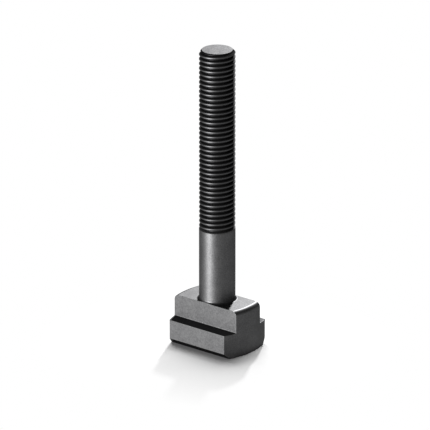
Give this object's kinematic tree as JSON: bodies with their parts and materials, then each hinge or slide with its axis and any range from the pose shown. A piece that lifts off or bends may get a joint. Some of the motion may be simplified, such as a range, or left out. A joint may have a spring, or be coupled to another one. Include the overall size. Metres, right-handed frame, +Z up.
{
  "type": "T-slot bolt",
  "caption": "Steel T-slot bolt with a stepped T head with rounded ends, a plain shank and a long threaded end, for clamping work to a slotted table.",
  "frame": {"origin": "centre of the foot's flat underside, on the shank's axis", "axes": "+Z up the shank from the head to the threaded tip; X along the head, the way it slides in the slot; Y across the slot"},
  "size_m": [0.0446, 0.0334, 0.1627],
  "materials": {
    "blackened_steel": "black oxide, satin, fine speckle"
  },
  "bodies": {
    "root": {"t_slot_bolt": "blackened_steel"}
  },
  "joints": []
}
